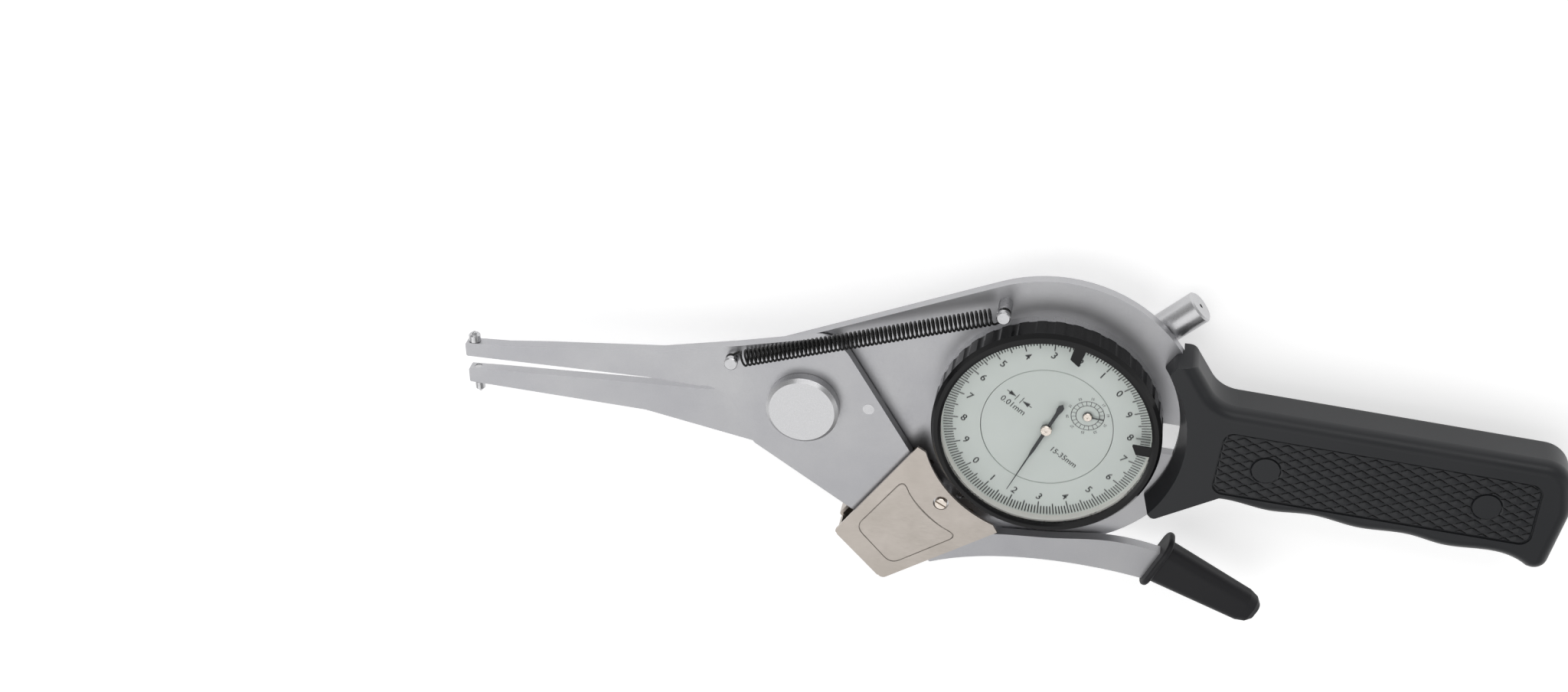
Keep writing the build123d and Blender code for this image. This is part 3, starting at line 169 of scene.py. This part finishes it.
def stretched_spring(name, node):
    """Copy of a spring's mesh as a piece in its place; the CAD node itself is hidden.
    """
    data = nodes[node].data.copy()
    data.name = name
    piece = bpy.data.objects.new(name, data)
    bpy.context.scene.collection.objects.link(piece)
    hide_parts(node)
    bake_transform(piece)


stretched_spring(
    "tension_coil", "tension_spring"
)
stretched_spring(
    "return_coil", "return_spring",
)


# Nickel-plated covers, warm and slightly dull, with faint scuffs, and their bright slotted screws.
# The screws of the lever have the same finish.
nickel = shader("nickel", (0.49, 0.45, 0.41), 0.3, metal=1.0)
mottle = noise(nickel, 9, 5)
scuff = noise(nickel, 1.6, 6, (1, 5, 1), 0.6)
vary(nickel, "Base Color", mottle, (0.3, (0.46, 0.42, 0.38)), (0.7, (0.52, 0.475, 0.435)))
vary(nickel, "Roughness", scuff, (0.35, 0.3), (0.7, 0.4))
bump(nickel, mottle, 0.03, 0.35)
dress(nickel, "front_cover", "rear_cover")
ease(0.25, "front_cover")
nickel_screw = shader("nickel_screw", (0.66, 0.60, 0.54), 0.2, metal=1.0)
vary(nickel_screw, "Roughness", noise(nickel_screw, 0.7, 3), (0.35, 0.14), (0.75, 0.3))
dress(
    nickel_screw, "cover_screw", "rear_cover_screw_1", "rear_cover_screw_2", "lever_screw_1",
    "lever_screw_2",
)
ease(0.08, "cover_screw")


# Bezel and limit markers: black enamelled metal.
# It is glossy, with light handling marks.
bezel_black = shader("bezel_black", (0.004, 0.004, 0.0045), 0.2, spec=0.26)
vary(bezel_black, "Roughness", noise(bezel_black, 6, 4), (0.3, 0.15), (0.7, 0.25))
bump(bezel_black, noise(bezel_black, 0.4, 2), 0.004, 0.3)
dress(bezel_black, "bezel", "limit_marker_1", "limit_marker_2")
ease(0.15, "bezel", "limit_marker_1", "limit_marker_2")


# Dial plates: pale grey-green enamel, matt.
# The wall that holds the crystal up is cream plastic.
enamel = shader("dial_enamel", (0.66, 0.71, 0.68), 0.5)
tone = noise(enamel, 14, 2)
vary(enamel, "Base Color", tone, (0.3, (0.65, 0.70, 0.67)), (0.7, (0.675, 0.725, 0.695)))
bump(enamel, noise(enamel, 0.2, 2), 0.002, 0.3)
dress(enamel, "inner_dial", "scale_ring")
cream = shader("cream_plastic", (0.84, 0.83, 0.79), 0.45)
bump(cream, noise(cream, 0.5, 2), 0.003, 0.3)
dress(cream, "spacer_ring")


# Crystal: clear flat pane over the dial, set in the bezel.
# It is nearly invisible, so that the dial reads clearly through it.
crystal = shader("crystal", (1, 1, 1), 0.03)
socket(crystal, "Transmission Weight").default_value = 1.0
socket(crystal, "IOR").default_value = 1.12
socket(crystal, "Alpha").default_value = 0.12
bump(crystal, noise(crystal, 5, 1), 0.002, 0.1)
crystal.surface_render_method = "BLENDED"
dress(crystal, "glass")


# Printed marks: a black ink on the dial plates. The main scale has two runs of a hundred divisions
# and numbers that climb anticlockwise; they stand square to the indicator's own upright.
ink = shader("black_ink", (0.03, 0.032, 0.034), 0.55)
patch = noise(ink, 0.3, 2)
vary(ink, "Base Color", patch, (0.3, (0.015, 0.016, 0.018)), (0.7, (0.035, 0.035, 0.037)))


def top_of(node):
    """Height of a CAD node's top, in millimetres."""
    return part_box(node)[1][2] * 1000


def new_mesh(name, corners, faces, *mats):
    """Mesh from corners in millimetres, with its materials."""
    data = bpy.data.meshes.new(name)
    data.from_pydata([(x / 1000, y / 1000, z / 1000) for x, y, z in corners], [], faces)
    for mat in mats:
        data.materials.append(mat)
    return data


def add_piece(data, body):
    """Puts a mesh in the scene, as a piece of its own name that rides on a body."""
    piece = bpy.data.objects.new(data.name, data)
    bpy.context.scene.collection.objects.link(piece)
    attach(piece, body)


def at(radius, angle):
    """Point in millimetres at a radius and an angle in degrees about the dial axis."""
    return radius * math.cos(math.radians(angle)), radius * math.sin(math.radians(angle))


def lettering(text, size, x, y, turn, bold):
    """Flat outlines of a word, centred on a point, in millimetres."""
    curve = bpy.data.curves.new("letters", "FONT")
    curve.body = text
    curve.size = size
    curve.align_x = "CENTER"
    curve.align_y = "CENTER"
    curve.offset = bold
    curve.resolution_u = 3
    holder = bpy.data.objects.new("letters", curve)
    bpy.context.scene.collection.objects.link(holder)
    graph = bpy.context.evaluated_depsgraph_get()
    mesh = bpy.data.meshes.new_from_object(holder.evaluated_get(graph))
    spin = Matrix.Rotation(turn, 3, "Z")
    corners = [spin @ v.co + Vector((x, y, 0)) for v in mesh.vertices]
    faces = [tuple(p.vertices) for p in mesh.polygons]
    bpy.data.objects.remove(holder)
    bpy.data.curves.remove(curve)
    bpy.data.meshes.remove(mesh)
    return corners, faces


class Print:
    """Collects flat marks in millimetres and makes one mesh of them."""

    def __init__(self):
        self.corners = []
        self.faces = []

    def add(self, corners, faces):
        """Adds faces on corners of their own; only the corners' x and y count."""
        start = len(self.corners)
        self.corners += [Vector((c[0], c[1])) for c in corners]
        self.faces += [tuple(start + i for i in face) for face in faces]

    def stroke(self, a, b, width):
        """Adds a straight line."""
        a, b = Vector(a), Vector(b)
        along = (b - a).normalized()
        side = Vector((-along.y, along.x)) * width / 2
        self.add([a + side, a - side, b - side, b + side], [(0, 1, 2, 3)])

    def circle(self, centre, radius, width, count=96):
        """Adds a round line."""
        ring = []
        for i in range(count):
            for edge in (radius - width / 2, radius + width / 2):
                dx, dy = at(edge, 360 * i / count)
                ring.append((centre[0] + dx, centre[1] + dy))
        faces = []
        for i in range(count):
            after = 2 * i + 2
            faces.append((2 * i, 2 * i + 1, (after + 1) % (2 * count), after % (2 * count)))
        self.add(ring, faces)

    def lay(self, name, height, body, mat):
        """Makes the piece, at a height in millimetres."""
        corners = [(c.x, c.y, height) for c in self.corners]
        add_piece(new_mesh(name, corners, self.faces, mat), body)


ink_height = 0.02
upright = math.radians(53)
text_turn = upright - math.pi / 2
first_zero = 32.8
division = 1.8
number_step = 18
tick_start, fives_start, tens_start = 23.75, 22.95, 22.45
tick_end = 26.15
tick_width = 0.31
number_radius = 21.0
number_size = 2.75
number_bold = 0.04

scale = Print()
for tick in range(200):
    start = tens_start if tick % 10 == 0 else fives_start if tick % 5 == 0 else tick_start
    angle = first_zero + division * tick
    scale.stroke(at(start, angle), at(tick_end, angle), tick_width)
for step in range(20):
    x, y = at(number_radius, first_zero + number_step * step)
    scale.add(*lettering(str(step % 10), number_size, x, y, text_turn, number_bold))
scale.lay("main_scale_marks", top_of("scale_ring") + ink_height, "bezel_group", ink)


# Small dial and the plain marks beside it, printed on the fixed disc. The small dial has twenty
# divisions in a double ring; the value of one division stands under a sign of two arrows.
small_centre = Vector(at(11.0, 23.0))
small_outer = 4.15
small_inner = 2.95
small_zero = 6
small_division = 18
ring_width = 0.17
small_tick_width = 0.14
small_number_radius = 5.05
small_number_size = 0.95
small_number_bold = 0.01
legend = Vector(at(10.4, 140))
legend_drop = 1.1
legend_size = 2.3
range_place = Vector(at(9.6, -62))
range_size = 2.15
legend_bold = 0.02
sign_rise = 1.5
bar_offset = 0.75
bar_half = 1.0
bar_width = 0.2
arrow_gap = 0.15
arrow_length = 2.3
arrow_half = 0.62
tail_end = 3.2
tail_width = 0.22

disc = Print()
disc.circle(small_centre, small_outer, ring_width)
disc.circle(small_centre, small_inner, ring_width)
for tick in range(20):
    angle = small_zero + small_division * tick
    start = small_centre + Vector(at(small_inner, angle))
    disc.stroke(start, small_centre + Vector(at(small_outer, angle)), small_tick_width)
for step, number in enumerate((19, 17, 15, 33, 31, 29, 27, 25, 23, 21)):
    angle = small_zero + 2 * small_division * step
    x, y = small_centre + Vector(at(small_number_radius, angle))
    turn = math.radians(angle - 90)
    disc.add(*lettering(str(number), small_number_size, x, y, turn, small_number_bold))
unit = Vector((math.cos(text_turn), math.sin(text_turn)))
up = Vector((-unit.y, unit.x))
disc.add(*lettering("0.01mm", legend_size, *(legend - up * legend_drop), text_turn, legend_bold))
for way in (-1, 1):
    bar = legend + up * sign_rise + unit * way * bar_offset
    disc.stroke(bar - up * bar_half, bar + up * bar_half, bar_width)
    tip = bar + unit * way * arrow_gap
    tail = bar + unit * way * arrow_length
    face = (0, 1, 2) if way < 0 else (0, 2, 1)
    disc.add([tip, tail + up * arrow_half, tail - up * arrow_half], [face])
    disc.stroke(tail, bar + unit * way * tail_end, tail_width)
disc.add(*lettering("15-35mm", range_size, *range_place, text_turn, legend_bold))
disc.lay("small_dial_marks", top_of("inner_dial") + ink_height, "frame_group", ink)


# Pressed panel of the front cover, a low step in the nickel sheet, with a dark line of painted
# shade at its foot.
# The panel has rounded corners and a hollow side that follows the bezel.
# Painted shade: a dark brown strip along the foot of the step, where the step's shadow falls; the
# noise only varies its tone.
panel_shade = shader("panel_painted_shade", (0.10, 0.085, 0.07), 0.6)
shade_noise = noise(panel_shade, 1.5, 3)
vary(panel_shade, "Base Color", shade_noise, (0.35, (0.09, 0.078, 0.065)), (0.7, (0.26, 0.23, 0.2)))
bump(panel_shade, shade_noise, 0.01, 0.4)

panel_foot = [Vector(p) for p in ((-22.6, -35.6), (-39.4, -45.6), (-48.2, -35.2), (-36.2, -20.2))]
bend = Vector((-33.6, -30.4))
foot_corner = 2.6
corner_steps = 8
panel_spread = 0.6
step_height = 0.12
step_slope = 0.25
step_sunk = 0.02
line_offset = 0.06
line_width = 0.18


def bezier(a, pull, b, t):
    """Point on a curve from a to b that is drawn towards a third point; t runs from 0 to 1."""
    return a * (1 - t) ** 2 + pull * 2 * t * (1 - t) + b * t * t


def spread(points, middle, distance):
    """Points moved straight away from a middle, in millimetres."""
    return [point + (point - middle).normalized() * distance for point in points]


hollow = [bezier(panel_foot[3], bend, panel_foot[0], 0.1 + 0.1 * step) for step in range(1, 8)]
outline = []
for i, foot in enumerate(panel_foot):
    before = hollow[-1] if i == 0 else panel_foot[i - 1]
    after = hollow[0] if i == 3 else panel_foot[i + 1]
    start = foot + (before - foot).normalized() * foot_corner
    end = foot + (after - foot).normalized() * foot_corner
    outline += [bezier(start, foot, end, step / corner_steps) for step in range(corner_steps + 1)]
outline += hollow
middle = sum(outline, Vector((0, 0))) / len(outline)
outline = spread(outline, middle, panel_spread)
top_edge = spread(outline, middle, -step_slope)

cover_top = top_of("front_cover")
count = len(outline)
corners = [(p.x, p.y, cover_top - step_sunk) for p in outline]
corners += [(p.x, p.y, cover_top + step_height) for p in top_edge]
faces = [(i, i + count, (i + 1) % count + count, (i + 1) % count) for i in range(count)]
faces.append((count, *range(2 * count - 1, count, -1)))
add_piece(new_mesh("pressed_panel", corners, faces, nickel), "frame_group")

# Strip of painted shade laid along the panel's outline.
shade_line = Print()
line = spread(outline, middle, line_offset)
for i, point in enumerate(line):
    shade_line.stroke(point, line[(i + 1) % count], line_width)
shade_line.lay("panel_shade_line", cover_top + ink_height, "frame_group", panel_shade)


# Hands: black enamel, and nickel hubs, which are turned rings standing on the hands.
# The pinion and the wheel that carry the hands show at the hubs' middles.
hand_black = shader("hand_black", (0.035, 0.037, 0.04), 0.35)
bump(hand_black, noise(hand_black, 0.6, 2), 0.003, 0.3)
dress(hand_black, "main_hand", "small_hand")
dress(nickel_screw, "centre_pinion", "counter_wheel")


def hub_profile(top, bore, rim, outer, rise, shoulder, depth):
    """Corners of a hub's section as (radius, height), in millimetres, about its hand's top."""
    return [
        (bore, top + rise), (rim, top + rise), (outer, top - shoulder),
        (outer, top - depth), (bore, top - depth),
    ]


def turned_ring(name, centre, profile, body, mat, count=48):
    """Ring turned about a vertical axis from (radius, height) corners in millimetres."""
    corners = []
    faces = []
    rows = len(profile)
    for i in range(count):
        turn = 2 * math.pi * i / count
        for radius, height in profile:
            x = centre[0] + radius * math.cos(turn)
            y = centre[1] + radius * math.sin(turn)
            corners.append((x, y, height))
    for i in range(count):
        here = i * rows
        there = (i + 1) % count * rows
        for k in range(rows):
            after = (k + 1) % rows
            faces.append((here + k, there + k, there + after, here + after))
    data = new_mesh(name, corners, faces, mat)
    data.shade_smooth()
    data.set_sharp_from_angle(angle=math.radians(35))
    add_piece(data, body)


main_profile = hub_profile(
    top_of("main_hand"), bore=0.3, rim=1.27, outer=1.42, rise=0.08, shoulder=0.06, depth=0.5
)
small_profile = hub_profile(
    top_of("small_hand"), bore=0.25, rim=1.0, outer=1.14, rise=0.05, shoulder=0.08, depth=0.3
)
turned_ring("main_hub", (0, 0), main_profile, "centre_group", nickel_screw)
turned_ring("small_hub", small_centre, small_profile, "counter_group", nickel_screw)


# Handle: black-grey moulded plastic with a fine grain, two halves with a parting line between them.
# Both broad faces have a sunk panel of raised scales, with a smooth plug over each screw on the
# front; the foot of each step between the scales carries a painted shade where its shadow falls.
grip = shader("grip_plastic", (0.0155, 0.0165, 0.019), 0.38, spec=0.42)
wear = noise(grip, 30, 3)
vary(grip, "Base Color", wear, (0.3, (0.014, 0.015, 0.0175)), (0.7, (0.0175, 0.0185, 0.021)))
vary(grip, "Roughness", wear, (0.3, 0.36), (0.7, 0.44))
bump(grip, noise(grip, 0.18, 2), 0.02, 0.35)
dress(grip, "handle_front", "handle_rear", "plug_1", "plug_2")
ease(0.4, "handle_front", "handle_rear")
ease(0.12, "plug_1", "plug_2")
# Painted shade: near-black material for the foot of each scale's step, standing in for its shadow.
step_shade = shader("grip_painted_step_shade", (0.003, 0.003, 0.0035), 0.6, spec=0.15)
bump(step_shade, noise(step_shade, 0.18, 2), 0.02, 0.35)

panel = [Vector(p) for p in ((44.0, 3.4), (122.0, -5.6), (120.6, -23.4), (41.6, -14.8))]
panel_slope = math.radians(-6.3)
panel_width = 17.55
panel_corner = 3.0
panel_depth = 0.5
panel_gap = 0.3
edge_fall = 0.35
plug_clear = 3.6
plug_fall = 0.3
scale_pitch = 5.4
scale_row = 1.24
sheet_lift = 0.02
crest_drop = 0.05
shade_high_start = 0.88
shade_low_start = 0.3
flat_edge = 0.9
left_search = (-6.0, 30.0)
right_search = (90.0, 50.0)
search_steps = 24
crest_power = 4
columns = 390
rows = 150

plugs = []
for plug in ("plug_1", "plug_2"):
    low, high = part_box(plug)
    plugs.append(Vector([(low[axis] + high[axis]) / 2 * 1000 for axis in (0, 1)]))


def clamp(value):
    """Value held between 0 and 1."""
    return max(0.0, min(1.0, value))


def inside(point):
    """Distance from a point in to the panel's rounded outline, in millimetres; negative outside."""
    reach = []
    for i in range(4):
        edge = panel[(i + 1) % 4] - panel[i]
        side = Vector((edge.y, -edge.x)).normalized()
        reach.append((point - panel[i]).dot(side))
    near = sorted(reach)
    if near[0] < panel_corner and near[1] < panel_corner:
        return panel_corner - math.hypot(panel_corner - near[0], panel_corner - near[1])
    return near[0]


def edge_along(start, across, outer, inner):
    """Place along a row where the sheet of scales ends, sought between two places."""
    for _ in range(search_steps):
        middle = (outer + inner) / 2
        if inside(start + across * middle) < panel_gap:
            outer = middle
        else:
            inner = middle
    return inner


def scale_step(point):
    """Place in the scales, from 0 on a crest to 1 at the foot of its step.

    The first value is the higher of the two along both slopes, the second the lower.
    """
    u = point.x * math.cos(panel_slope) + point.y * math.sin(panel_slope)
    v = -point.x * math.sin(panel_slope) + point.y * math.cos(panel_slope)
    a = (u / scale_pitch + v / scale_row / 2) % 1
    b = (-u / scale_pitch + v / scale_row / 2) % 1
    return max(a, b), min(a, b)


def scaled_panel(name, floor, way):
    """Sheet of scales that fills the sunk panel, with edges turned down to its floor."""
    across = (panel[1] - panel[0]).normalized()
    down = Vector((across.y, -across.x))
    corners = []
    step_shade_mask = []
    for r in range(rows + 1):
        row_start = panel[0] + down * (panel_gap + (panel_width - panel_gap) * r / rows)
        left = edge_along(row_start, across, *left_search)
        right = edge_along(row_start, across, *right_search)
        for c in range(columns + 1):
            point = row_start + across * (left + (right - left) * c / columns)
            edge = clamp((inside(point) - panel_gap) / edge_fall)
            for plug in plugs:
                edge = min(edge, clamp(((point - plug).length - plug_clear) / plug_fall))
            high, low = scale_step(point)
            # Faces at the foot of a step are marked for the painted shade material.
            step_shade_mask.append(edge > flat_edge and high > shade_high_start and low > shade_low_start)
            rise = sheet_lift + (panel_depth - crest_drop) * edge * (1 - high**crest_power)
            corners.append((point.x, point.y, floor + way * rise))
    faces = []
    width = columns + 1
    for r in range(rows):
        for c in range(columns):
            a = r * width + c
            face = (a, a + width, a + width + 1, a + 1)
            faces.append(face if way > 0 else face[::-1])
    data = new_mesh(name, corners, faces, grip, step_shade)
    for polygon in data.polygons:
        if sum(step_shade_mask[i] for i in polygon.vertices) > 1:
            polygon.material_index = 1
    data.shade_smooth()
    add_piece(data, "frame_group")


rear_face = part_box("handle_rear")[0][2] * 1000
scaled_panel("front_scales", top_of("handle_front") - panel_depth, 1)
scaled_panel("rear_scales", rear_face + panel_depth, -1)


# Rubber sleeve on the finger lever: soft black with a dull sheen.
# Its skin is finely pebbled.
rubber = shader("black_rubber", (0.012, 0.012, 0.014), 0.5, spec=0.32)
vary(rubber, "Roughness", noise(rubber, 12, 3), (0.3, 0.44), (0.7, 0.6))
bump(rubber, noise(rubber, 0.5, 3), 0.03, 0.4)
dress(rubber, "lever_sleeve")
ease(0.5, "lever_sleeve")


# Movement inside the indicator: the bridge and the drive wheel, and also the bush at the pivot.
# They share one plain brass finish.
brass = shader("brass", (0.62, 0.45, 0.2), 0.3, metal=1.0)
vary(brass, "Roughness", noise(brass, 2, 3), (0.3, 0.25), (0.7, 0.4))
dress(brass, "movement_bridge", "drive_wheel", "pivot_bush")


# Floor, lights and camera: a plain white table, soft studio light, and the photograph's own view.
# The far surroundings are bright low down and dimmer overhead, as in a light tent. The table glows
# only where it is seen straight, in a reflection or through the crystal.
floor_size = 12
floor_gap = 0.0002
floor_glow = 0.5
horizon_light, overhead_light = 0.8, 0.42
horizon_end, overhead_start = 0.12, 0.55


def combine(tree, operation, first, second):
    """Math node on a socket and a second socket or number; returns its value."""
    node = tree.nodes.new("ShaderNodeMath")
    node.operation = operation
    tree.links.new(first, node.inputs[0])
    if isinstance(second, float):
        node.inputs[1].default_value = second
    else:
        tree.links.new(second, node.inputs[1])
    return node.outputs["Value"]


def softbox(name, place, aim, width, height, power):
    """Rectangular area light that faces a point, in metres and watts."""
    data = bpy.data.lights.new(name, "AREA")
    data.shape = "RECTANGLE"
    data.size = width
    data.size_y = height
    data.energy = power
    lamp = bpy.data.objects.new(name, data)
    lamp.location = place
    lamp.rotation_euler = (Vector(aim) - Vector(place)).to_track_quat("-Z", "Y").to_euler()
    bpy.context.scene.collection.objects.link(lamp)


bpy.ops.mesh.primitive_plane_add(size=floor_size, location=(0, 0, -floor_gap))
floor = bpy.context.object
floor.name = "floor"
paper = shader("paper", (0.82, 0.82, 0.82), 0.9, spec=0.1)
tree = paper.node_tree
rays = tree.nodes.new("ShaderNodeLightPath").outputs
seen = combine(tree, "MAXIMUM", rays["Is Camera Ray"], rays["Is Glossy Ray"])
seen = combine(tree, "MAXIMUM", seen, rays["Is Transmission Ray"])
glow = combine(tree, "MULTIPLY", seen, floor_glow)
socket(paper, "Emission Color").default_value = (1, 1, 1, 1)
tree.links.new(glow, socket(paper, "Emission Strength"))
floor.data.materials.append(paper)

world = bpy.data.worlds.new("studio")
bpy.context.scene.world = world
world.use_nodes = True
sky = world.node_tree
sky.nodes.clear()
out = sky.nodes.new("ShaderNodeOutputWorld")
dome = sky.nodes.new("ShaderNodeBackground")
way = sky.nodes.new("ShaderNodeTexCoord")
split = sky.nodes.new("ShaderNodeSeparateXYZ")
fade = sky.nodes.new("ShaderNodeMapRange")
fade.inputs["From Min"].default_value = horizon_end
fade.inputs["From Max"].default_value = overhead_start
fade.inputs["To Min"].default_value = horizon_light
fade.inputs["To Max"].default_value = overhead_light
sky.links.new(way.outputs["Generated"], split.inputs["Vector"])
sky.links.new(split.outputs["Z"], fade.inputs["Value"])
sky.links.new(fade.outputs["Result"], dome.inputs["Strength"])
sky.links.new(dome.outputs["Background"], out.inputs["Surface"])

softbox("key_light", (-0.35, -0.3, 1.15), (-0.03, 0, 0), 1.3, 1.2, 4.6)
softbox("back_light", (0.1, 0.9, 0.8), (0, 0, 0), 1.3, 0.4, 3.2)
softbox("side_light", (1.0, -0.3, 0.6), (0, 0, 0), 0.6, 0.8, 0.8)
softbox("jaw_light", (-0.7, -0.25, 0.55), (-0.13, 0, 0), 0.5, 0.5, 0.7)

camera = bpy.data.objects.new("camera", bpy.data.cameras.new("camera"))
camera.data.lens = 52.88
camera.data.sensor_width = 36
camera.data.clip_start = 0.01
camera_place = (0.02557, 0.30811, 0.51544)
right = Vector((0.9849, -0.0198, -0.1717)).normalized()
forward = Vector((-0.1587, -0.4972, -0.8530)).normalized()
above = right.cross(forward).normalized()
view_rows = [(right[i], above[i], -forward[i], camera_place[i]) for i in range(3)]
camera.matrix_world = Matrix((*view_rows, (0, 0, 0, 1)))
bpy.context.scene.collection.objects.link(camera)
bpy.context.scene.camera = camera
bpy.context.scene.view_settings.view_transform = "Standard"
